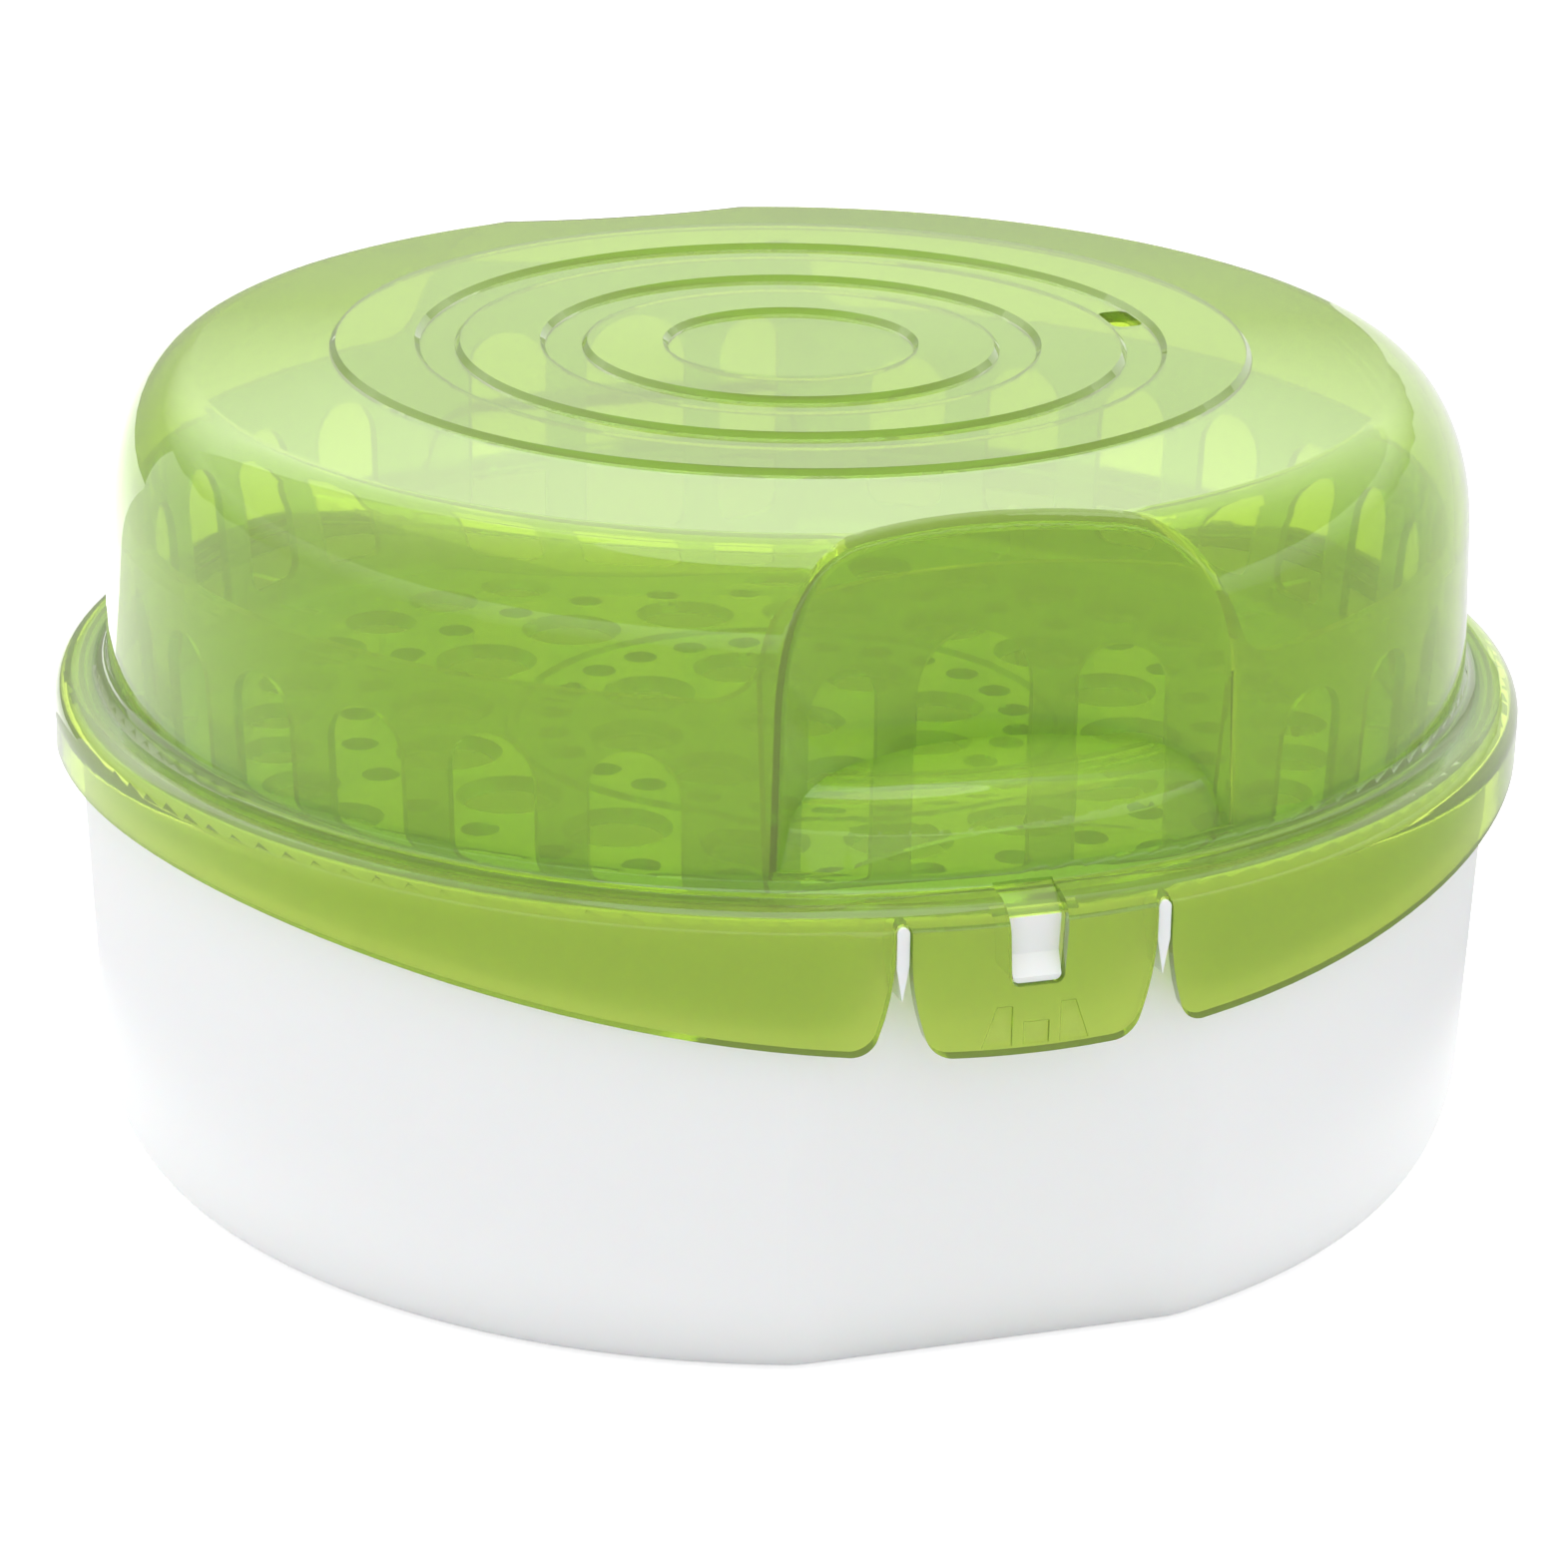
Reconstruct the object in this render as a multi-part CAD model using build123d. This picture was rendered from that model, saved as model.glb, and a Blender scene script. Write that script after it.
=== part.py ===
"""Microwave steam steriliser for baby bottles.

A white bowl holds the water and carries a green rack for the bottles on eight
gussets.  A clear green lid sits on the bowl's rim.  Its brim hangs over the
outside of the bowl and dips towards the front and the back, where a latch tab
is cut free in it.  Each tab hooks under a catch on the bowl, and a pocket in
the dome above it makes room for the fingers.

Millimetres, +Z up.  The origin is the centre of the bowl's underside, and the
latches look along -Y (front) and +Y (rear).
"""

import os
from math import asin, atan2, cos, degrees, hypot, radians, sin, sqrt, tan

from build123d import *

# Bowl
bowl_height = 91.0
bowl_rim_r = 137.8
bowl_draft = 2.5
bowl_corner_width = 10.0
bowl_corner_height = 20.0
bowl_wall = 2.4
rim_edge_chamfer = 0.7
foot_ring_width = 18.0
foot_recess = 0.6
panel_inset = 5.2
panel_edge_round = 24.0

# Gussets in the bowl that carry the rack
gusset_angles = (17.0, 50.0)
gusset_thickness = 2.2
gusset_seat = 5.0
gusset_drop = 32.0
gusset_stop_height = 7.0
rack_stop_gap = 0.6

# Lid dome
lid_wall = 2.2
lid_height = 64.9
dome_inset = 6.8
dome_draft = 1.7
dome_corner_width = 17.6
dome_corner_height = 29.0
shoulder_slope = 4.8
ring_radii = (24.0, 39.5, 47.5, 63.8, 71.4, 87.5)
ring_depth = 1.1
ring_flank = 1.0
top_dish = 1.3
vent_length = 11.0
vent_width = 6.0
vent_round = 2.0

# Lid brim and skirt
skirt_gap = 2.5
skirt_draft = 1.1
brim_step = 2.6
brim_fall = 0.8
crease_round = 3.0
brim_round = 5.5
brim_inner_round = 2.0
skirt_side_drop = 10.0
skirt_latch_drop = 25.7
lip_gap = 0.8
lip_wall = 1.6
lip_depth = 5.0
lip_panel_gap = 8.0

# Finger pockets in the lid, each with a hood that rises from its floor
pocket_depth = 21.0
pocket_plan_r = 68.4
pocket_floor_lift = 0.3
pocket_edge_round = 3.0
hood_plan_r = 89.0
hood_front_rise = 11.2
hood_flank = 72.0
hood_back_rise = 21.4
hood_fall = 6.0
hood_round = 12.0

# Latch tabs and what they meet on the bowl
slit_x = 24.0
slit_width = 2.9
slit_flare_drop = 5.0
slit_flare_r = 50.0
tab_corner_round = 5.0
window_top_width = 11.4
window_bottom_width = 9.6
window_bottom_drop = 12.8
window_corner_round = 1.6
window_crease_gap = 0.8
grip_recess = 0.8
grip_top_width = 14.5
grip_bottom_width = 19.7
grip_top_drop = 16.4
grip_bottom_drop = 23.8
grip_rib_width = 8.9
grip_leg_width = 2.1
grip_bar_height = 3.2
catch_gap = 0.4
catch_hook = 1.2
catch_land = 1.4
catch_ramp = 3.6
catch_set_back = 0.9
catch_top_gap = 1.0
fin_gap = 0.3
fin_recess = 0.6
fin_point_drop = 14.3
fin_taper = 6.5

# Rack
rack_gap = 1.8
rack_wall = 1.8
rack_draft = 3.0
rack_floor_drop = 13.0
rack_floor = 2.6
rack_corner_round = 4.0
rack_rim_rise = 35.0
scoop_gap = 2.6
scoop_rim_rise = 51.7
scoop_rim_half_width = 40.0
scoop_rim_rise_width = 6.0
scoop_rim_round = 9.0
wall_window_first = 30.0
wall_window_pitch = 12.0
wall_window_width = 16.6
wall_window_rise = 25.0
window_sill_drop = 8.0
window_sill_round = 4.0
scoop_window_x = 26.5
scoop_window_width = 15.0
scoop_window_rise = 36.7
scoop_middle_width = 22.0
scoop_middle_rise = 40.0
centre_hole = 15.5
large_hole_circles = (30.5, 68.0)
large_hole_widths = (15.5, 17.5)
large_hole_counts = (8, 16)
small_hole_circles = (45.5, 84.0)
small_hole_widths = (5.8, 6.2)
small_hole_counts = (24, 30)
small_hole_sides = 10
edge_hole_inset = 24.9
edge_hole_width = 12.0
edge_hole_count = 32
edge_hole_sides = 16
hole_flare = 1.5
small_hole_flare = 0.6
hole_land = 2.0
bead_r = 53.8
bead_width = 3.0
bead_height = 1.1

# Sizes that follow from those above
bowl_slope = tan(radians(bowl_draft))
bowl_foot_r = bowl_rim_r - (bowl_height - bowl_corner_height) * bowl_slope - bowl_corner_width
panel_y = bowl_rim_r - panel_inset
bowl_root_y = panel_y - bowl_wall / 2
skirt_inner_r = bowl_rim_r + skirt_gap
brim_r = skirt_inner_r + lid_wall
dome_r = bowl_rim_r - dome_inset
seat_z = bowl_height
lid_top_z = seat_z + lid_height
crease_z = seat_z + brim_step
skirt_side_z = seat_z - skirt_side_drop
skirt_latch_z = seat_z - skirt_latch_drop
slit_top = seat_z
slit_flare_z = seat_z - slit_flare_drop
hinge_z = slit_top - slit_width / 2
window_bottom_z = seat_z - window_bottom_drop
grip_top_z = seat_z - grip_top_drop
grip_bottom_z = seat_z - grip_bottom_drop
fin_point_z = seat_z - fin_point_drop
dome_slope = tan(radians(dome_draft))
shoulder_fall = tan(radians(shoulder_slope))
skirt_slope = tan(radians(skirt_draft))
rack_slope = tan(radians(rack_draft))
lip_r = bowl_rim_r - bowl_wall - lip_gap
pocket_back_y = dome_r - pocket_depth
pocket_y = pocket_back_y + pocket_plan_r
hood_front_z = seat_z + hood_front_rise
hood_back_z = seat_z + hood_back_rise
rack_rim_r = dome_r - lid_wall - rack_gap
rack_rim_z = seat_z + rack_rim_rise
rack_floor_z = seat_z - rack_floor_drop
rack_under_z = rack_floor_z - rack_floor
scoop_plan_r = pocket_plan_r + lid_wall + scoop_gap
scoop_back_y = pocket_y - scoop_plan_r
scoop_rim_z = seat_z + scoop_rim_rise
wall_window_top = seat_z + wall_window_rise
window_sill = seat_z - window_sill_drop
scoop_window_top = seat_z + scoop_window_rise
scoop_middle_top = seat_z + scoop_middle_rise
low = seat_z / 2
high = 2 * lid_top_z
far = 1.5 * brim_r


def turned(outline):
    """Turn an outline, drawn as radius and height, about Z."""
    return revolve(Plane.XZ * make_face(outline), Axis.Z)


def across(outline, half_length=far):
    """Extrude an outline, drawn as y and height, both ways along X."""
    return extrude(Plane.YZ.offset(-half_length) * make_face(outline), 2 * half_length)


def forward(outline, start, end=far):
    """Extrude an outline, drawn as x and height, along -Y from start to end."""
    return extrude(Plane.XZ.offset(start) * make_face(outline), end - start)


def closed(*points):
    """A closed polygon through the points."""
    return Polyline(*points, close=True)


def front_and_rear(*shapes):
    """The shapes at the front and, turned half round, at the rear."""
    return [turn for one in shapes for turn in (one, one.rotate(Axis.Z, 180))]


def bowl_outline(inset, shift=0.0):
    """Side outline of the bowl, moved in by inset and its wall also by shift.

    The outline of the hollow, which is inset, ends above the rim, so that it cuts the rim open.
    """
    corner = EllipticalCenterArc(
        (bowl_foot_r - shift, bowl_corner_height),
        bowl_corner_width - inset,
        bowl_corner_height - inset,
        start_angle=270,
        arc_size=90,
    )
    top = bowl_height + inset
    rim = (bowl_rim_r - shift - inset + inset * bowl_slope, top)
    return corner + Polyline(corner @ 1, rim, (0, top), (0, inset), corner @ 0)


def bowl_block(inset):
    """The bowl as a solid block, round with a flat panel front and rear."""
    half = across(bowl_outline(inset, panel_inset))
    return turned(bowl_outline(inset)) & (half + mirror(half, Plane.XZ))


def rack_radius(z):
    """Outside radius of the rack's wall at a height."""
    return rack_rim_r - (rack_rim_z - z) * rack_slope


def gusset(angle):
    """A rib in the bowl, with a seat under the rack and a stop beside it."""
    seat_in = rack_radius(rack_under_z) - rack_corner_round - gusset_seat
    stop_r = rack_radius(rack_under_z + gusset_stop_height) + rack_stop_gap
    stop_z = rack_under_z + gusset_stop_height
    wall_r = bowl_rim_r - bowl_wall / 2 - (bowl_height - rack_under_z) * bowl_slope
    outline = closed(
        (seat_in, rack_under_z),
        (stop_r, rack_under_z),
        (stop_r, stop_z),
        (wall_r, stop_z),
        (wall_r - gusset_drop * bowl_slope, rack_under_z - gusset_drop),
    )
    return across(outline, gusset_thickness / 2).rotate(Axis.Z, angle)


def window_outline(gap):
    """A latch window, or with a gap the catch that fits in it."""
    top = crease_z + crease_round + 1
    bottom = window_bottom_z + gap
    wide = window_top_width / 2 - gap
    narrow = window_bottom_width / 2 - gap
    cup = FilletPolyline((-wide, top), (-narrow, bottom), (narrow, bottom), (wide, top),
                         radius=window_corner_round - gap)
    return cup + Line(cup @ 1, cup @ 0)


def latch_window():
    """The space cut for a latch window, whose back slopes from the crease down to the catch."""
    bottom = seat_z - catch_top_gap + catch_gap
    face_y = skirt_inner_r - catch_set_back
    crease_y = dome_foot_r() + window_crease_gap
    front = closed((-far, low), (-face_y, low), (-face_y, bottom), (-crease_y, crease_z),
                   (-crease_y, high), (-far, high))
    return forward(window_outline(0), pocket_back_y) & across(front)


def window_backing():
    """A bar under the brim that closes the sloping back of a latch window."""
    face_y = skirt_inner_r - catch_set_back
    bottom = seat_z - catch_top_gap + catch_gap
    top = seat_z + lid_wall / 2
    bar = closed((-face_y, bottom), (-face_y, top), (lid_wall - face_y, top),
                 (lid_wall - face_y, bottom))
    return across(bar, window_top_width / 2 + lid_wall)


def catch():
    """The block on the bowl that a latch tab hooks under, with a lead-in ramp above its nose."""
    bottom = window_bottom_z
    top = seat_z - catch_top_gap
    nose_y = skirt_inner_r + catch_hook
    face_y = skirt_inner_r - catch_set_back
    side = closed((-bowl_root_y, bottom), (-nose_y, bottom), (-nose_y, bottom + catch_land),
                  (-face_y, bottom + catch_land + catch_ramp), (-face_y, top),
                  (-bowl_root_y, top))
    return across(side) & forward(window_outline(catch_gap), bowl_root_y)


def fin(x):
    """A guide rib on the bowl that stands in a slit of the lid and ends in a point."""
    half = slit_width / 2 - fin_gap
    head_z = hinge_z - fin_gap
    sides = Polyline((x - half, head_z), (x - half, fin_point_z + fin_taper), (x, fin_point_z),
                     (x + half, fin_point_z + fin_taper), (x + half, head_z))
    head = ThreePointArc((x + half, head_z), (x, head_z + half), (x - half, head_z))
    return forward(sides + head, bowl_root_y, sqrt(brim_r**2 - x**2) - fin_recess)


def make_bowl():
    bowl = bowl_block(0) - bowl_block(bowl_wall)
    corners = [edge for edge in bowl.edges() if edge.bounding_box().size.Z > bowl_height / 2]
    bowl = fillet(corners, panel_edge_round - bowl_wall / 2)
    bowl -= Cylinder(bowl_foot_r - foot_ring_width, 2 * foot_recess)
    rim = bowl.faces().sort_by(Axis.Z)[-1]
    bowl = chamfer(rim.edges(), rim_edge_chamfer)
    gussets = [gusset(turn + side * angle)
               for turn in (90, 270) for side in (-1, 1) for angle in gusset_angles]
    return bowl + gussets + front_and_rear(catch(), fin(-slit_x), fin(slit_x))


def dome_corner(inset):
    """The ellipse that turns the dome's wall into its shoulder."""
    wide = dome_corner_width - inset
    tall = dome_corner_height - inset
    end = atan2(dome_corner_height, dome_corner_width * shoulder_fall)
    start_angle = degrees(atan2(tall * dome_slope, wide))
    end_angle = degrees(atan2(tall, wide * shoulder_fall))
    run = dome_r - dome_corner_width * (1 - cos(end)) - ring_radii[-1] - ring_flank / 2
    drop = ring_depth + run * shoulder_fall + dome_corner_height * sin(end)
    return EllipticalCenterArc(
        (dome_r - dome_corner_width, lid_top_z - drop),
        wide,
        tall,
        start_angle=start_angle,
        arc_size=end_angle - start_angle,
    )


def dome_foot_r(inset=0.0):
    """Radius of the dome's wall where it meets the brim."""
    start = dome_corner(inset) @ 0
    return start.X + (start.Y - crease_z) * dome_slope


def ring_points(inset):
    """The rings on the lid's top, from the centre out to the shoulder."""
    points = []
    for step, radius in enumerate(ring_radii):
        crown = lid_top_z - inset - top_dish * (1 - radius / ring_radii[-1])
        levels = (crown - ring_depth, crown) if step % 2 == 0 else (crown, crown - ring_depth)
        points += [(radius - ring_flank / 2, levels[0]), (radius + ring_flank / 2, levels[1])]
    return [(0, points[0][1])] + points


def lid_outline(inset):
    """Side outline of the lid's outside, or of the hollow in it, down to low."""
    corner = dome_corner(inset)
    foot_r = dome_foot_r(inset)
    skirt_r = brim_r - inset
    skirt_end = (skirt_r - (seat_z - low) * skirt_slope, low)
    top = Polyline(*ring_points(inset), corner @ 1)
    if inset:
        wall = Line(corner @ 0, (foot_r, seat_z))
        brim = FilletPolyline((foot_r, seat_z), (skirt_r, seat_z), skirt_end,
                              radius=brim_inner_round)
    else:
        brim = FilletPolyline(corner @ 0, (foot_r, crease_z), (skirt_r, crease_z - brim_fall),
                              skirt_end, radius=[crease_round, brim_round])
        wall = []
    return top + corner + wall + brim + Polyline(skirt_end, (0, low), top @ 0)


def upright(y, radius):
    """A tall cylinder that stands y in front of the axis."""
    return Pos(0, -y, high / 2) * Cylinder(radius, high)


def hood(inset):
    """The raised floor of a finger pocket, which falls steeply towards the front."""
    flank = tan(radians(hood_flank))
    fall = tan(radians(hood_fall))
    axis_y = dome_foot_r() - hood_plan_r
    back = pocket_back_y - axis_y
    foot = hood_plan_r + (hood_front_z - low) / flank - inset / sin(radians(hood_flank))
    top = hood_back_z + back * fall - inset / cos(radians(hood_fall))
    edge = (flank * foot + low - top) / (flank - fall)
    side = FilletPolyline((0, top), (edge, top - edge * fall), (foot, low),
                          radius=hood_round - inset)
    return Pos(0, -axis_y, 0) * turned(side + Polyline(side @ 1, (0, low), side @ 0))


def pocket(out):
    """The space of a finger pocket without its hood, grown by out for the inner skin."""
    floor_z = crease_z + crease_round + pocket_floor_lift - out
    floor = Pos(0, 0, floor_z - high / 2) * Box(2 * far, 2 * far, high)
    return upright(pocket_y, pocket_plan_r + out) - floor


def pocket_edges(shape):
    """The edges where the dome turns into the upright back of a pocket."""
    def on_back(edge):
        middle = edge @ 0.5
        return abs(hypot(middle.X, pocket_y - abs(middle.Y)) - pocket_plan_r) < 0.01
    tall = [edge for edge in shape.edges()
            if edge.bounding_box().max.Z > hood_back_z + pocket_edge_round]
    return [edge for edge in tall if on_back(edge)]


def skirt_curve():
    """Everything below the wavy edge of the lid's skirt."""
    steps = 7
    dip = skirt_side_z - skirt_latch_z
    points = []
    for n in range(-steps, steps + 1):
        share = n / (steps - 1)
        points.append((share * brim_r, skirt_side_z - dip * abs(share) ** 3))
    edge = Spline(*points)
    return across(edge + Polyline(edge @ 1, (points[-1][0], 0), (points[0][0], 0), edge @ 0))


def slit(x):
    """A slit beside a latch tab, round at the top and flared towards the skirt's edge."""
    half = slit_width / 2
    turn = degrees(asin((slit_flare_z - skirt_latch_z + lid_wall) / slit_flare_r))
    head = ThreePointArc((x + half, hinge_z), (x, slit_top), (x - half, hinge_z))
    right = JernArc((x + half, slit_flare_z), (0, -1), slit_flare_r, turn)
    left = JernArc((x - half, slit_flare_z), (0, -1), slit_flare_r, -turn)
    outline = (head + Line(head @ 1, left @ 0) + left + Line(left @ 1, right @ 1)
               + right + Line(right @ 0, head @ 0))
    return forward(outline, lip_r, brim_r + lid_wall)


def skirt_cut():
    """What the skirt leaves out: its wavy edge and the slits, with rounded corners."""
    cut = skirt_curve() + front_and_rear(slit(-slit_x), slit(slit_x))
    corners = [edge for edge in cut.edges()
               if abs(edge.tangent_at(0.5).Y) > 0.9
               and abs(abs(edge.center().X) - slit_x) < 2 * tab_corner_round
               and abs(edge.center().Z - skirt_latch_z) < lid_wall]
    return fillet(corners, tab_corner_round)


def grip():
    """The thin place on a latch tab, with a thicker bar and two legs left in it."""
    thin = closed((-grip_bottom_width / 2, grip_bottom_z), (grip_bottom_width / 2, grip_bottom_z),
                  (grip_top_width / 2, grip_top_z), (-grip_top_width / 2, grip_top_z))
    half = grip_rib_width / 2
    inner = half - grip_leg_width
    bar_z = grip_top_z - grip_bar_height
    ribs = closed((-half, grip_bottom_z), (-half, grip_top_z), (half, grip_top_z),
                  (half, grip_bottom_z), (inner, grip_bottom_z), (inner, bar_z),
                  (-inner, bar_z), (-inner, grip_bottom_z))
    skirt_r = brim_r - (seat_z - grip_top_z) * skirt_slope
    block = forward(thin, bowl_rim_r) - forward(ribs, bowl_rim_r)
    return block - Cylinder(skirt_r - grip_recess, high)


def vent():
    """The steam vent in the groove between two rings."""
    middle = (ring_radii[3] + ring_radii[4]) / 2
    hole = RectangleRounded(vent_width, vent_length, vent_round)
    return extrude(Pos(middle, 0, seat_z) * hole, lid_height)


def drip_lip():
    """A lip under the brim that returns the water to the bowl, broken at the panels."""
    ring = Cylinder(lip_r, lip_depth + lid_wall / 2) - Cylinder(lip_r - lip_wall, high)
    ring = Pos(0, 0, seat_z - (lip_depth - lid_wall / 2) / 2) * ring
    panel_half_width = sqrt(bowl_rim_r**2 - panel_y**2) + lip_panel_gap
    return ring - Box(2 * panel_half_width, 2 * far, high)


def make_lid_and_tabs():
    """The lid's moulding, cut into the lid and the two latch tabs that bend on it."""
    dome = turned(lid_outline(0))
    outside = dome - front_and_rear(pocket(0))
    outside = fillet(pocket_edges(outside), pocket_edge_round)
    outside += front_and_rear(dome & hood(0))
    hollow = turned(lid_outline(lid_wall)) - front_and_rear(pocket(lid_wall) - hood(lid_wall))
    lid = outside - hollow - skirt_cut() - vent()
    lid += drip_lip()
    lid += front_and_rear(window_backing())
    lid -= front_and_rear(latch_window())
    flap = Box(2 * slit_x, far, hinge_z, align=(Align.CENTER, Align.MAX, Align.MIN))
    flap = Pos(0, -lip_r, 0) * flap
    tab = (lid & flap) - grip()
    lid -= front_and_rear(flap)
    return lid, tab, tab.rotate(Axis.Z, 180)


def rack_outline(inset):
    """Side outline of the rack's outside, or of the hollow in it."""
    bottom = rack_floor_z if inset else rack_under_z
    wall = FilletPolyline((0, bottom), (rack_radius(bottom) - inset, bottom),
                          (rack_radius(scoop_rim_z) - inset, scoop_rim_z),
                          radius=rack_corner_round - inset)
    return wall + Polyline(wall @ 1, (0, scoop_rim_z), (0, bottom))


def scoop(out):
    """The space that the rack leaves for a finger pocket of the lid."""
    return upright(pocket_y, scoop_plan_r + out)


def rim_keep():
    """What lies below the rack's rim, which rises along the back of each scoop."""
    foot = scoop_rim_half_width + scoop_rim_rise_width
    raised = FilletPolyline((-far, rack_rim_z), (-foot, rack_rim_z),
                            (-scoop_rim_half_width, scoop_rim_z),
                            (scoop_rim_half_width, scoop_rim_z), (foot, rack_rim_z),
                            (far, rack_rim_z), radius=scoop_rim_round)
    raised += Polyline(raised @ 1, (far, low), (-far, low), raised @ 0)
    disc = Pos(0, 0, rack_rim_z / 2) * Cylinder(far, rack_rim_z)
    return disc + front_and_rear(forward(raised, scoop_back_y / 2))


def arch(x, width, top):
    """Outline of a window in the rack, with a half-round head."""
    half = width / 2
    spring = top - half
    cup = FilletPolyline((x - half, spring), (x - half, window_sill), (x + half, window_sill),
                         (x + half, spring), radius=window_sill_round)
    return cup + ThreePointArc((x + half, spring), (x, top), (x - half, spring))


def rack_windows():
    """All windows, in the round wall and in the back of each scoop."""
    count = 1 + round((180 - 2 * wall_window_first) / wall_window_pitch)
    window = forward(arch(0, wall_window_width, wall_window_top),
                     rack_rim_r - 4 * rack_wall, rack_rim_r + rack_wall)
    side = [window.rotate(Axis.Z, wall_window_first + wall_window_pitch * n)
            for n in range(count)]
    deep = scoop_back_y + scoop_plan_r / 4
    start = scoop_back_y - 2 * rack_wall
    middle = forward(arch(0, scoop_middle_width, scoop_middle_top), start, deep)
    beside = [forward(arch(x, scoop_window_width, scoop_window_top), start, deep)
              for x in (-scoop_window_x, scoop_window_x)]
    return front_and_rear(*side, middle, *beside)


def clear_of_scoops(x, y, radius):
    """Whether a hole leaves a land beside the walls of the scoops."""
    return hypot(x, pocket_y - abs(y)) > scoop_plan_r + rack_wall + radius + hole_land


def hole_ring(circle_r, count, width, flare, first=0.0, sides=0):
    """Holes on a circle of the rack's floor, each wider at the top, round or with flat sides."""
    if sides:
        taper = -degrees(atan2(flare, rack_floor))
        hole = extrude(RegularPolygon(width / 2, sides), rack_floor, taper=taper)
        hole = Pos(0, 0, rack_under_z) * hole
    else:
        hole = Pos(0, 0, rack_floor_z - rack_floor / 2) * Cone(width / 2, width / 2 + flare,
                                                              rack_floor)
    places = [360 / count * (n + first) for n in range(count)]
    return [(Pos(circle_r, 0, 0) * hole).rotate(Axis.Z, angle) for angle in places
            if clear_of_scoops(circle_r * cos(radians(angle)), circle_r * sin(radians(angle)),
                               width / 2 + flare)]


def floor_holes():
    holes = hole_ring(0, 1, centre_hole, hole_flare)
    for circle_r, width, count in zip(large_hole_circles, large_hole_widths, large_hole_counts):
        holes += hole_ring(circle_r, count, width, hole_flare)
    holes += hole_ring(rack_radius(rack_floor_z) - edge_hole_inset, edge_hole_count,
                       edge_hole_width, hole_flare, 0.5, edge_hole_sides)
    for circle_r, width, count in zip(small_hole_circles, small_hole_widths, small_hole_counts):
        holes += hole_ring(circle_r, count, width, small_hole_flare, 0.5, small_hole_sides)
    return holes


def make_rack():
    walls = turned(rack_outline(0)) - front_and_rear(scoop(0))
    hollow = turned(rack_outline(rack_wall)) - front_and_rear(scoop(rack_wall))
    rack = (walls - hollow) & rim_keep()
    bead = turned(closed((bead_r - bead_width / 2, rack_floor_z),
                         (bead_r + bead_width / 2, rack_floor_z),
                         (bead_r + bead_width / 4, rack_floor_z + bead_height),
                         (bead_r - bead_width / 4, rack_floor_z + bead_height)))
    return rack + bead - rack_windows() - floor_holes()


os.makedirs("parts", exist_ok=True)
lid_dome, front_latch_tab, rear_latch_tab = make_lid_and_tabs()
nodes = {
    "base_bowl": make_bowl(),
    "bottle_rack": make_rack(),
    "lid_dome": lid_dome,
    "front_latch_tab": front_latch_tab,
    "rear_latch_tab": rear_latch_tab,
}
for name, shape in nodes.items():
    export_step(shape, f"parts/{name}.step")
    print(name, len(shape.solids()), "solid,", round(shape.volume / 1000, 1), "cm3")
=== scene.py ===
"""Plastics and studio for a steam steriliser: a white bowl, a green rack and a clear green lid."""

from math import cos, log, radians, sin

import bpy
from bpy.props import FloatProperty, FloatVectorProperty, PointerProperty
from mathutils import Matrix

bl_info = {
    "name": "Steam Steriliser Finishes",
    "version": (1, 0, 0),
    "blender": (4, 5, 0),
    "location": "View3D > Sidebar > Steriliser",
    "description": "Gives the bowl, rack, lid and latch tabs of a steam steriliser their plastics",
    "category": "Material",
}

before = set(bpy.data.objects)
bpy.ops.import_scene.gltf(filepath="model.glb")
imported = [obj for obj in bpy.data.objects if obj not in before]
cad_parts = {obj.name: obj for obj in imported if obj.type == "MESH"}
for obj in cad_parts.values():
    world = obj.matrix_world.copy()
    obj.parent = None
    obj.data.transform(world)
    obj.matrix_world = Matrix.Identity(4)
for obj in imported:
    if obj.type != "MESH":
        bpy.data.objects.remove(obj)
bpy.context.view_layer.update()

# Lengths are in metres unless the name says mm. A light's strength is a share of plain white.
# The lid's wall, over which the depth colours of lid and rack are given.
WALL = 0.0022
POLYPROPYLENE_IOR = 1.49

# The polish of a moulded face, as a thin coat.
POLISH_IOR = 1.5
POLISH_ROUGHNESS = 0.03

# The bowl takes a little light into its skin and lets it out nearby.
SKIN_SHARE = 0.15
SKIN_REACH = 0.002
# The grain's finer octaves, its height, and the share of that height that shades.
GRAIN_DETAIL = 2.0
GRAIN_HEIGHT = 0.00003
GRAIN_STRENGTH = 0.25

FLOOR_REACH = 6.0
FLOOR_GLOW = 0.62
ROOM_SEEN = 1.0
SOFTBOX_LENGTH = 1.2
SOFTBOX_DEPTH = 0.9
SOFTBOX_PLACE = (0.0, 0.15, 0.9)

# A dark card that glows and only reflections show: it paints the lid's dark reflections.
# Radius and height along the dark card: on the table, up behind the camera and over it.
DARK_CARD = [(0.17, 0.003), (2.4, 0.003), (2.4, 1.0), (0.5, 1.75)]
# Degrees that it sweeps, with the gap at the back.
DARK_CARD_SWEEP = 300
# Angles from the front, between which it fades to white.
DARK_ENDS = radians(60)
WHITE_STARTS = radians(140)
# Strengths of its glow, dark in front and white at both ends: painted reflections.
DARK_STRENGTH = 0.22
WHITE_STRENGTH = 1.0

# A white dome that glows and only reflections show: it paints the lid's highlight.
DOME_RADIUS = 2.5
# Degrees above level of the white dome's rows.
DOME_RISES = range(1, 90, 8)
# Heights on the dome, between which it brightens.
DOME_LOW = DOME_RADIUS * sin(radians(15))
DOME_HIGH = DOME_RADIUS * sin(radians(32))
DOME_LOW_STRENGTH = 0.4
DOME_HIGH_STRENGTH = 1.65
# Flat strips that a card's sweep is made of.
CARD_STEPS = 36

SENSOR_MM = 36
NEAREST_SEEN = 0.05
# A ray crosses the lid, the rack and the lid again, with two faces to each wall.
FACES_CROSSED = 24
FILMS_CROSSED = 32


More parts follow.
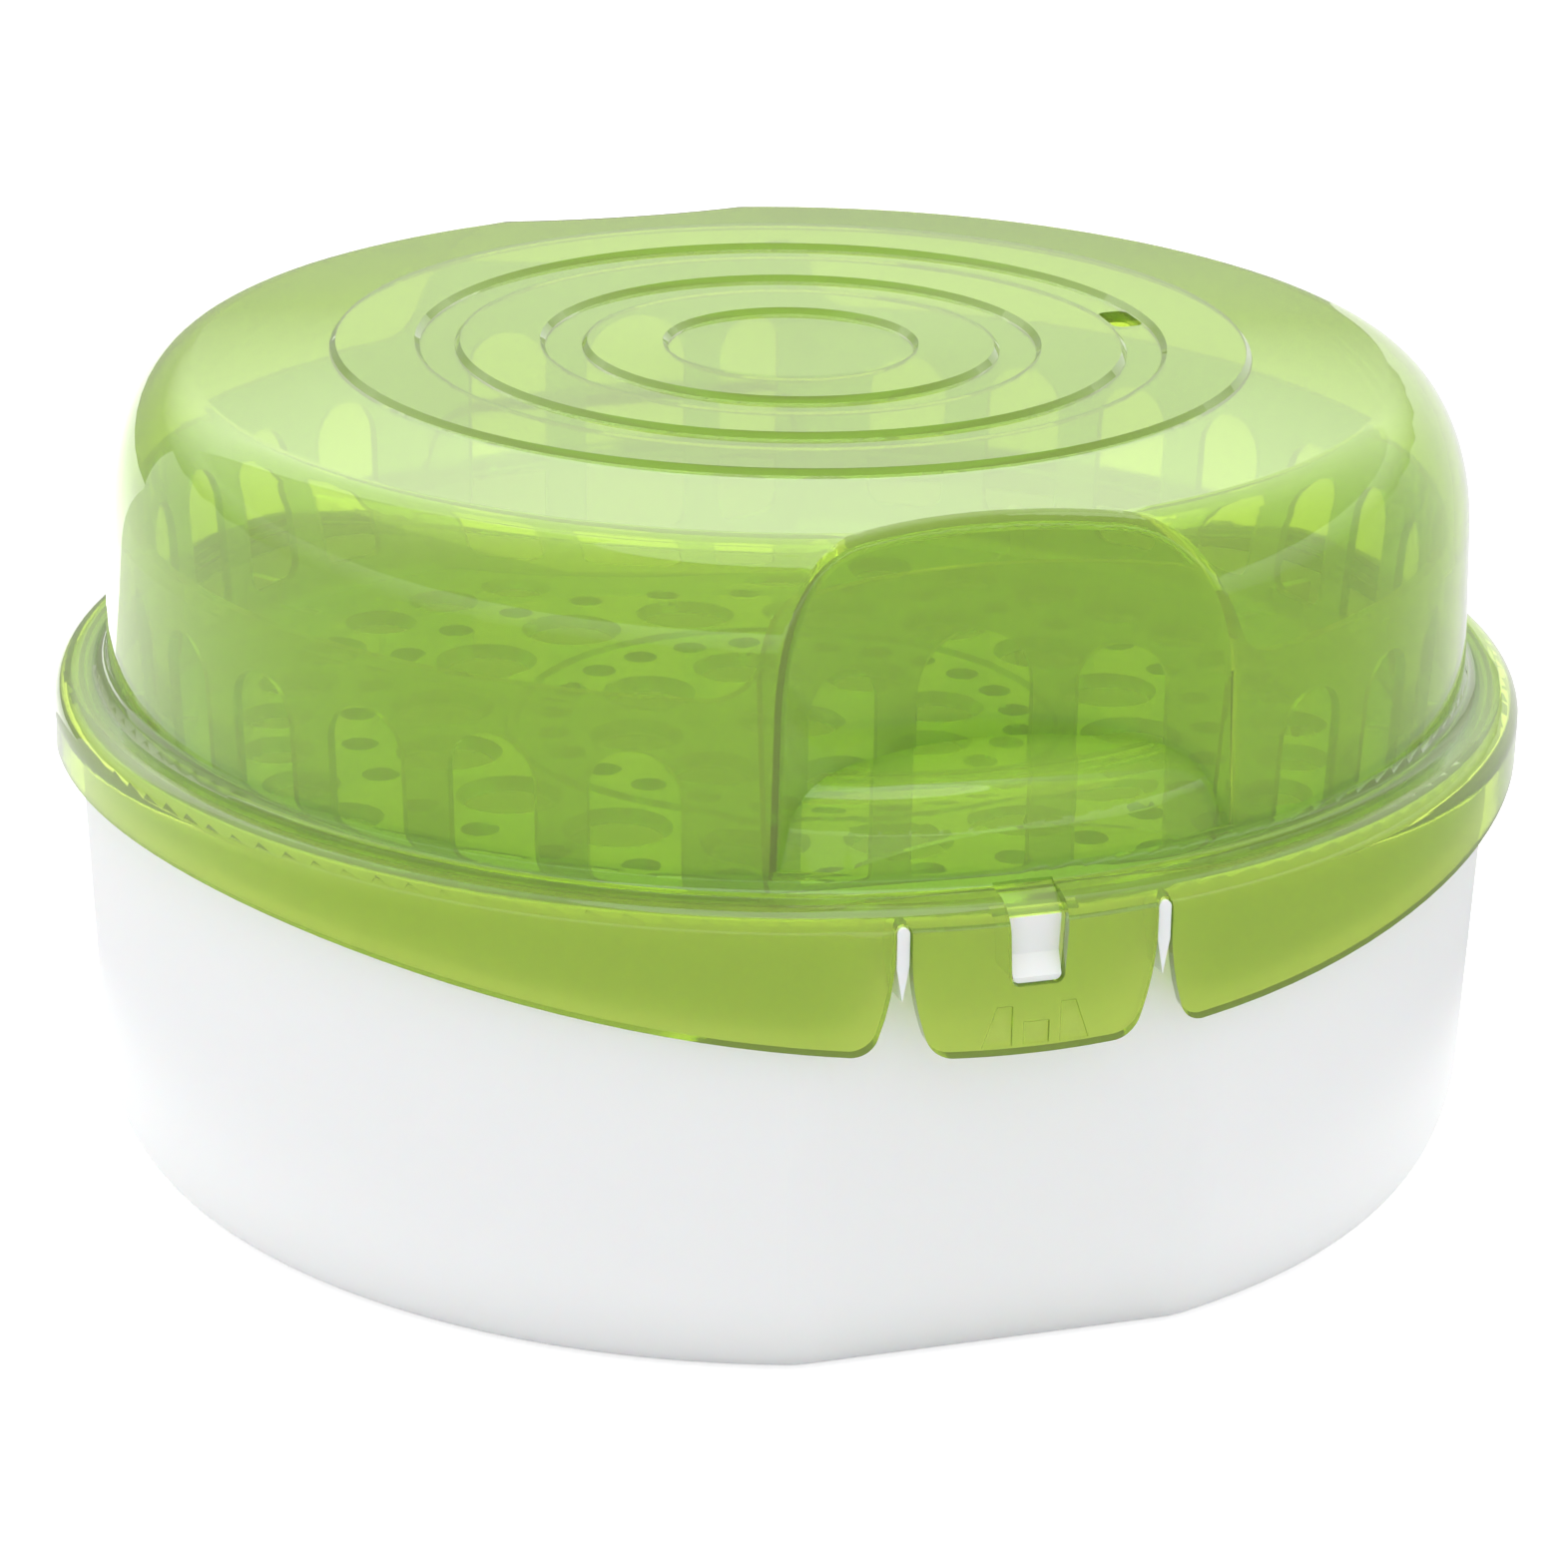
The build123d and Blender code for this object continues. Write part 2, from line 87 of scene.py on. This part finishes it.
def linear(hex_colour):
    """An sRGB hex colour as the linear red, green and blue that Blender works in."""
    parts = [int(hex_colour[i:i + 2], 16) / 255 for i in (1, 3, 5)]
    return [c / 12.92 if c <= 0.04045 else ((c + 0.055) / 1.055) ** 2.4 for c in parts]


WHITE = (*linear("#FFFFFF"), 1)
PAPER = (*linear("#E7E7E7"), 1)


def add(tree, kind, inputs=None, **settings):
    """Add a node to a tree, with its settings, and with values or links on its inputs."""
    node = tree.nodes.new(kind)
    for name, value in settings.items():
        setattr(node, name, value)
    for name, value in (inputs or {}).items():
        if isinstance(value, bpy.types.NodeSocket):
            tree.links.new(value, node.inputs[name])
        else:
            node.inputs[name].default_value = value
    return node


def new_material(name):
    """An empty node material and its output node."""
    material = bpy.data.materials.new(name)
    material.use_nodes = True
    material.node_tree.nodes.clear()
    return material, add(material.node_tree, "ShaderNodeOutputMaterial")


def dress(node_name, material):
    """Give a moulding of the frame its plastic."""
    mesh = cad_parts[node_name].data
    mesh.materials.clear()
    mesh.materials.append(material)


class SteriliserColours(bpy.types.PropertyGroup):
    bowl: FloatVectorProperty(
        name="Bowl", description="White of the bowl", subtype="COLOR",
        min=0, max=1, default=linear("#EDEEF0"))
    lid: FloatVectorProperty(
        name="Lid", description="Tint of the clear lid's skin", subtype="COLOR",
        min=0, max=1, default=linear("#E0EE90"))
    lid_depth: FloatVectorProperty(
        name="Lid Depth", description="Light that passes 2.2 mm of the lid's plastic",
        subtype="COLOR", min=0, max=1, default=linear("#E3EFA0"))
    rack: FloatVectorProperty(
        name="Rack", description="Tint of the rack's skin", subtype="COLOR",
        min=0, max=1, default=linear("#EAF28C"))
    rack_depth: FloatVectorProperty(
        name="Rack Depth", description="Light that passes 2.2 mm of the rack's plastic",
        subtype="COLOR", min=0, max=1, default=linear("#D8F2CE"))


class SteriliserFinish(bpy.types.PropertyGroup):
    bowl_roughness: FloatProperty(
        name="Bowl Roughness", description="How far the bowl's satin blurs what it mirrors",
        min=0, max=1, default=0.42, subtype="FACTOR")
    grain: FloatProperty(
        name="Bowl Grain", description="Size of the satin grain on the bowl",
        min=0.0001, max=0.005, default=0.0006, subtype="DISTANCE", unit="LENGTH")
    lid_roughness: FloatProperty(
        name="Lid Roughness", description="How far the lid blurs what is seen in and through it",
        min=0, max=1, default=0.02, subtype="FACTOR")
    lid_haze: FloatProperty(
        name="Lid Haze", description="Share of the light that the lid scatters",
        min=0, max=1, default=0.19, subtype="FACTOR")
    lid_polish: FloatProperty(
        name="Lid Polish", description="Weight of the lid's sharp reflections",
        min=0, max=1, default=0.6, subtype="FACTOR")
    rack_roughness: FloatProperty(
        name="Rack Roughness", description="How far the rack blurs what is seen in and through it",
        min=0, max=1, default=0.04, subtype="FACTOR")
    rack_haze: FloatProperty(
        name="Rack Haze", description="Share of the light that the rack scatters",
        min=0, max=1, default=0.28, subtype="FACTOR")
    rack_polish: FloatProperty(
        name="Rack Polish", description="Weight of the rack's sharp reflections",
        min=0, max=1, default=0.5, subtype="FACTOR")


class SteriliserStage(bpy.types.PropertyGroup):
    lens: FloatProperty(
        name="Lens", description="Focal length for a 36 mm sensor", min=10, max=400,
        default=120.9, subtype="DISTANCE_CAMERA")
    distance: FloatProperty(
        name="Distance", description="From the camera to the bowl's axis, level", min=0.2, max=5,
        default=0.975, subtype="DISTANCE", unit="LENGTH")
    height: FloatProperty(
        name="Height", description="Of the camera above the floor", min=0, max=3,
        default=0.4253, subtype="DISTANCE", unit="LENGTH")
    turn: FloatProperty(
        name="Turn", description="From the latch's own direction to the camera's", subtype="ANGLE",
        min=-3.2, max=3.2, default=radians(18.2))
    tilt: FloatProperty(
        name="Tilt", description="Of the camera below level", subtype="ANGLE",
        min=0, max=1.6, default=radians(20.31))
    roll: FloatProperty(
        name="Roll", description="Of the camera about its own line of sight", subtype="ANGLE",
        min=-0.2, max=0.2, default=radians(0.88))
    key: FloatProperty(
        name="Overhead Light", description="Power of the softbox above", min=0, max=100,
        default=9.0, subtype="POWER", unit="POWER")
    room: FloatProperty(
        name="Room Light", description="Strength at which the white room lights the pieces",
        min=0, max=5, default=0.9)


class STERILISER_OT_bowl(bpy.types.Operator):
    """Give the bowl its white satin plastic"""
    bl_idname = "steriliser.bowl"
    bl_label = "Bowl"

    def execute(self, context):
        colours = context.scene.steriliser_colours
        finish = context.scene.steriliser_finish
        # Injection-moulded polypropylene, pigmented white, from a spark-eroded mould.
        # It scatters light softly under a satin skin. The real grain is near 0.1 mm, and is
        # drawn at 0.6 mm, as coarse as it needs to show.
        material, out = new_material("white_polypropylene_moulded_satin")
        tree = material.node_tree
        place = add(tree, "ShaderNodeTexCoord").outputs["Object"]
        grain = add(tree, "ShaderNodeTexNoise", {
            "Vector": place, "Scale": 1 / finish.grain, "Detail": GRAIN_DETAIL})
        bump = add(tree, "ShaderNodeBump", {
            "Height": grain.outputs["Fac"], "Strength": GRAIN_STRENGTH, "Distance": GRAIN_HEIGHT})
        plastic = add(tree, "ShaderNodeBsdfPrincipled", {
            "Base Color": (*colours.bowl, 1), "Roughness": finish.bowl_roughness,
            "IOR": POLYPROPYLENE_IOR, "Subsurface Weight": SKIN_SHARE,
            "Subsurface Scale": SKIN_REACH, "Normal": bump.outputs["Normal"]})
        tree.links.new(plastic.outputs["BSDF"], out.inputs["Surface"])
        dress("base_bowl", material)
        return {"FINISHED"}


def clear_plastic(name, skin, depth, haze, roughness, polish):
    """Clear tinted plastic that darkens with its thickness and lets the lamps in."""
    material, out = new_material(name)
    tree = material.node_tree
    # The skin tints what a wall scatters and what passes its two faces. The depth tints what
    # passes the plastic between them.
    loss = [-log(c) / WALL for c in depth]
    density = max(loss)
    absorption = add(tree, "ShaderNodeVolumeAbsorption", {
        "Color": (*[1 - c / density for c in loss], 1), "Density": density})
    tree.links.new(absorption.outputs["Volume"], out.inputs["Volume"])
    plastic = add(tree, "ShaderNodeBsdfPrincipled", {
        "Base Color": (*skin, 1), "Roughness": roughness, "IOR": POLYPROPYLENE_IOR,
        "Transmission Weight": 1 - haze, "Coat Weight": polish,
        "Coat Roughness": POLISH_ROUGHNESS, "Coat IOR": POLISH_IOR})
    # To the lamps' light a face is a film, and two films tint as much as one wall.
    film = add(tree, "ShaderNodeBsdfTransparent", {
        "Color": (*[(s * d) ** 0.5 for s, d in zip(skin, depth)], 1)})
    path = add(tree, "ShaderNodeLightPath")
    mix = add(tree, "ShaderNodeMixShader", {
        0: path.outputs["Is Shadow Ray"], 1: plastic.outputs["BSDF"], 2: film.outputs["BSDF"]})
    tree.links.new(mix.outputs["Shader"], out.inputs["Surface"])
    return material


class STERILISER_OT_rack(bpy.types.Operator):
    """Give the rack its hazy green plastic"""
    bl_idname = "steriliser.rack"
    bl_label = "Rack"

    def execute(self, context):
        colours = context.scene.steriliser_colours
        finish = context.scene.steriliser_finish
        # Injection-moulded polypropylene, tinted green and left hazy. It glows with the light
        # it scatters, and its windows and holes still show through the lid.
        plastic = clear_plastic("green_polypropylene_moulded_hazy", colours.rack,
                                colours.rack_depth, finish.rack_haze, finish.rack_roughness,
                                finish.rack_polish)
        dress("bottle_rack", plastic)
        return {"FINISHED"}


class STERILISER_OT_lid(bpy.types.Operator):
    """Give the lid and its latch tabs their clear green plastic"""
    bl_idname = "steriliser.lid"
    bl_label = "Lid and Latch Tabs"

    def execute(self, context):
        colours = context.scene.steriliser_colours
        finish = context.scene.steriliser_finish
        # Injection-moulded polypropylene, clarified and tinted green, from a polished mould.
        # It shows the rack inside, greens where it is deep and whitens at a flat angle.
        plastic = clear_plastic("green_polypropylene_moulded_clear", colours.lid,
                                colours.lid_depth, finish.lid_haze, finish.lid_roughness,
                                finish.lid_polish)
        for name in ("lid_dome", "front_latch_tab", "rear_latch_tab"):
            dress(name, plastic)
        return {"FINISHED"}


def where_seen(tree):
    """1 for what is seen straight, mirrored or through the plastic, and 0 for what lights."""
    path = add(tree, "ShaderNodeLightPath").outputs
    seen = path["Is Camera Ray"]
    for ray in ("Is Glossy Ray", "Is Transmission Ray"):
        step = add(tree, "ShaderNodeMath", {0: seen, 1: path[ray]}, operation="MAXIMUM")
        seen = step.outputs["Value"]
    return seen


def lay_floor(scene):
    """Lay a white sheet under the steriliser that keeps its shadow."""
    side = FLOOR_REACH
    mesh = bpy.data.meshes.new("floor")
    mesh.from_pydata([(-side, -side, 0), (side, -side, 0), (side, side, 0), (-side, side, 0)],
                     [], [(0, 1, 2, 3)])
    floor = bpy.data.objects.new("floor", mesh)
    scene.collection.objects.link(floor)
    # Uncoated paper, rolled smooth: matt and even, and white wherever it is seen unshaded.
    material, out = new_material("white_paper_sheet")
    tree = material.node_tree
    paper = add(tree, "ShaderNodeBsdfDiffuse", {"Color": PAPER})
    glow = add(tree, "ShaderNodeEmission", {"Color": WHITE, "Strength": FLOOR_GLOW})
    both = add(tree, "ShaderNodeAddShader", {
        0: paper.outputs["BSDF"], 1: glow.outputs["Emission"]})
    mix = add(tree, "ShaderNodeMixShader", {
        0: where_seen(tree), 1: paper.outputs["BSDF"], 2: both.outputs["Shader"]})
    tree.links.new(mix.outputs["Shader"], out.inputs["Surface"])
    mesh.materials.append(material)


def light_room(scene, stage):
    """Put the steriliser in a white room with a softbox overhead."""
    world = bpy.data.worlds.new("white_room")
    world.use_nodes = True
    scene.world = world
    tree = world.node_tree
    tree.nodes.clear()
    light = add(tree, "ShaderNodeBackground", {"Color": WHITE, "Strength": stage.room})
    white = add(tree, "ShaderNodeBackground", {"Color": WHITE, "Strength": ROOM_SEEN})
    mix = add(tree, "ShaderNodeMixShader", {
        0: where_seen(tree), 1: light.outputs["Background"], 2: white.outputs["Background"]})
    add(tree, "ShaderNodeOutputWorld", {"Surface": mix.outputs["Shader"]})

    lamp = bpy.data.lights.new("overhead_softbox", "AREA")
    lamp.shape = "RECTANGLE"
    lamp.size = SOFTBOX_LENGTH
    lamp.size_y = SOFTBOX_DEPTH
    lamp.energy = stage.key
    softbox = bpy.data.objects.new("overhead_softbox", lamp)
    softbox.location = SOFTBOX_PLACE
    # The glowing cards paint its reflection in its place, without its hard edge.
    softbox.visible_glossy = False
    scene.collection.objects.link(softbox)


def reflected_card(name, profile, sweep):
    """A glowing card turned about Z that only paints reflections: its tree, places and glow."""
    points = []
    for step in range(CARD_STEPS + 1):
        angle = radians(sweep) * (step / CARD_STEPS - 0.5)
        points += [(radius * sin(angle), -radius * cos(angle), z) for radius, z in profile]
    row = len(profile)
    faces = [(row * n + k, row * n + k + 1, row * n + row + k + 1, row * n + row + k)
             for n in range(CARD_STEPS) for k in range(row - 1)]
    mesh = bpy.data.meshes.new(name)
    mesh.from_pydata(points, [], faces)
    card = bpy.data.objects.new(name, mesh)
    bpy.context.scene.collection.objects.link(card)
    # Smooth card that glows and is seen only in reflections: it paints broad reflections on
    # the lid that fade without an edge.
    material, out = new_material(f"paper_{name}")
    mesh.materials.append(material)
    tree = material.node_tree
    place = add(tree, "ShaderNodeTexCoord").outputs["Object"]
    at = add(tree, "ShaderNodeSeparateXYZ", {"Vector": place}).outputs
    # The paper here is a glow, and it paints the lid's reflections.
    paper = add(tree, "ShaderNodeEmission", {"Color": WHITE})
    tree.links.new(paper.outputs["Emission"], out.inputs["Surface"])
    for ray in ("camera", "diffuse", "transmission", "volume_scatter", "shadow"):
        setattr(card, f"visible_{ray}", False)
    return tree, at, paper


def hang_cards():
    """Hang the two glowing cards that paint the reflections in the lid."""
    # A dark glowing card, seen only in reflections, paints dark reflections that keep the lid's
    # walls deep. It lies on the table round the front and sides, rises to over the camera, and
    # its glow fades to white at both ends.
    tree, at, paper = reflected_card("dark_reflection_glow_card", DARK_CARD, DARK_CARD_SWEEP)
    front = add(tree, "ShaderNodeMath", {0: at["Y"], 1: -1.0}, operation="MULTIPLY")
    angle = add(tree, "ShaderNodeMath", {0: at["X"], 1: front.outputs["Value"]},
                operation="ARCTAN2")
    angle = add(tree, "ShaderNodeMath", {0: angle.outputs["Value"]}, operation="ABSOLUTE")
    shade = add(tree, "ShaderNodeMapRange", {
        "Value": angle.outputs["Value"], "From Min": DARK_ENDS, "From Max": WHITE_STARTS,
        "To Min": DARK_STRENGTH, "To Max": WHITE_STRENGTH}, interpolation_type="SMOOTHSTEP")
    tree.links.new(shade.outputs["Result"], paper.inputs["Strength"])

    # A white dome glows in reflections only, brighter overhead than at the back: it paints
    # the lid's top and shoulder with their long soft highlight.
    dome = [(DOME_RADIUS * cos(radians(rise)), DOME_RADIUS * sin(radians(rise)))
            for rise in DOME_RISES]
    tree, at, paper = reflected_card("overhead_reflection_glow_card", dome, 360)
    shade = add(tree, "ShaderNodeMapRange", {
        "Value": at["Z"], "From Min": DOME_LOW, "From Max": DOME_HIGH,
        "To Min": DOME_LOW_STRENGTH, "To Max": DOME_HIGH_STRENGTH})
    tree.links.new(shade.outputs["Result"], paper.inputs["Strength"])


def place_camera(scene, stage):
    """Place the camera in front of the latch, turned to the side and looking down."""
    camera = bpy.data.cameras.new("camera")
    camera.lens = stage.lens
    camera.sensor_width = SENSOR_MM
    camera.clip_start = NEAREST_SEEN
    stand = bpy.data.objects.new("camera", camera)
    scene.collection.objects.link(stand)
    stand.location = (-stage.distance * sin(stage.turn), -stage.distance * cos(stage.turn),
                      stage.height)
    stand.rotation_euler = (Matrix.Rotation(-stage.turn, 3, "Z")
                            @ Matrix.Rotation(radians(90) - stage.tilt, 3, "X")
                            @ Matrix.Rotation(stage.roll, 3, "Z")).to_euler()
    scene.camera = stand


class STERILISER_OT_stage(bpy.types.Operator):
    """Set the floor, the white room, the softbox, the cards and the camera"""
    bl_idname = "steriliser.stage"
    bl_label = "Studio"

    def execute(self, context):
        scene = context.scene
        stage = scene.steriliser_stage
        lay_floor(scene)
        light_room(scene, stage)
        hang_cards()
        place_camera(scene, stage)
        scene.view_settings.view_transform = "Standard"
        scene.cycles.max_bounces = FACES_CROSSED
        scene.cycles.transmission_bounces = FACES_CROSSED
        scene.cycles.transparent_max_bounces = FILMS_CROSSED
        return {"FINISHED"}


class STERILISER_PT_sidebar(bpy.types.Panel):
    """The steriliser's pieces, colours and studio"""
    bl_idname = "STERILISER_PT_sidebar"
    bl_label = "Steam Steriliser"
    bl_space_type = "VIEW_3D"
    bl_region_type = "UI"
    bl_category = "Steriliser"

    def draw(self, context):
        for group in GROUPS:
            values = getattr(context.scene, group)
            for name in values.__annotations__:
                self.layout.prop(values, name)
        for operator in OPERATORS:
            self.layout.operator(operator.bl_idname)


GROUPS = {
    "steriliser_colours": SteriliserColours,
    "steriliser_finish": SteriliserFinish,
    "steriliser_stage": SteriliserStage,
}
OPERATORS = (STERILISER_OT_bowl, STERILISER_OT_rack, STERILISER_OT_lid, STERILISER_OT_stage)


def register():
    for name, group in GROUPS.items():
        bpy.utils.register_class(group)
        setattr(bpy.types.Scene, name, PointerProperty(type=group))
    for cls in (*OPERATORS, STERILISER_PT_sidebar):
        bpy.utils.register_class(cls)


def unregister():
    for cls in (STERILISER_PT_sidebar, *OPERATORS):
        bpy.utils.unregister_class(cls)
    for name, group in GROUPS.items():
        delattr(bpy.types.Scene, name)
        bpy.utils.unregister_class(group)


def main():
    """Dress the pieces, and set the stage."""
    register()
    bpy.ops.steriliser.bowl()
    bpy.ops.steriliser.rack()
    bpy.ops.steriliser.lid()
    bpy.ops.steriliser.stage()


if __name__ == "__main__":
    main()
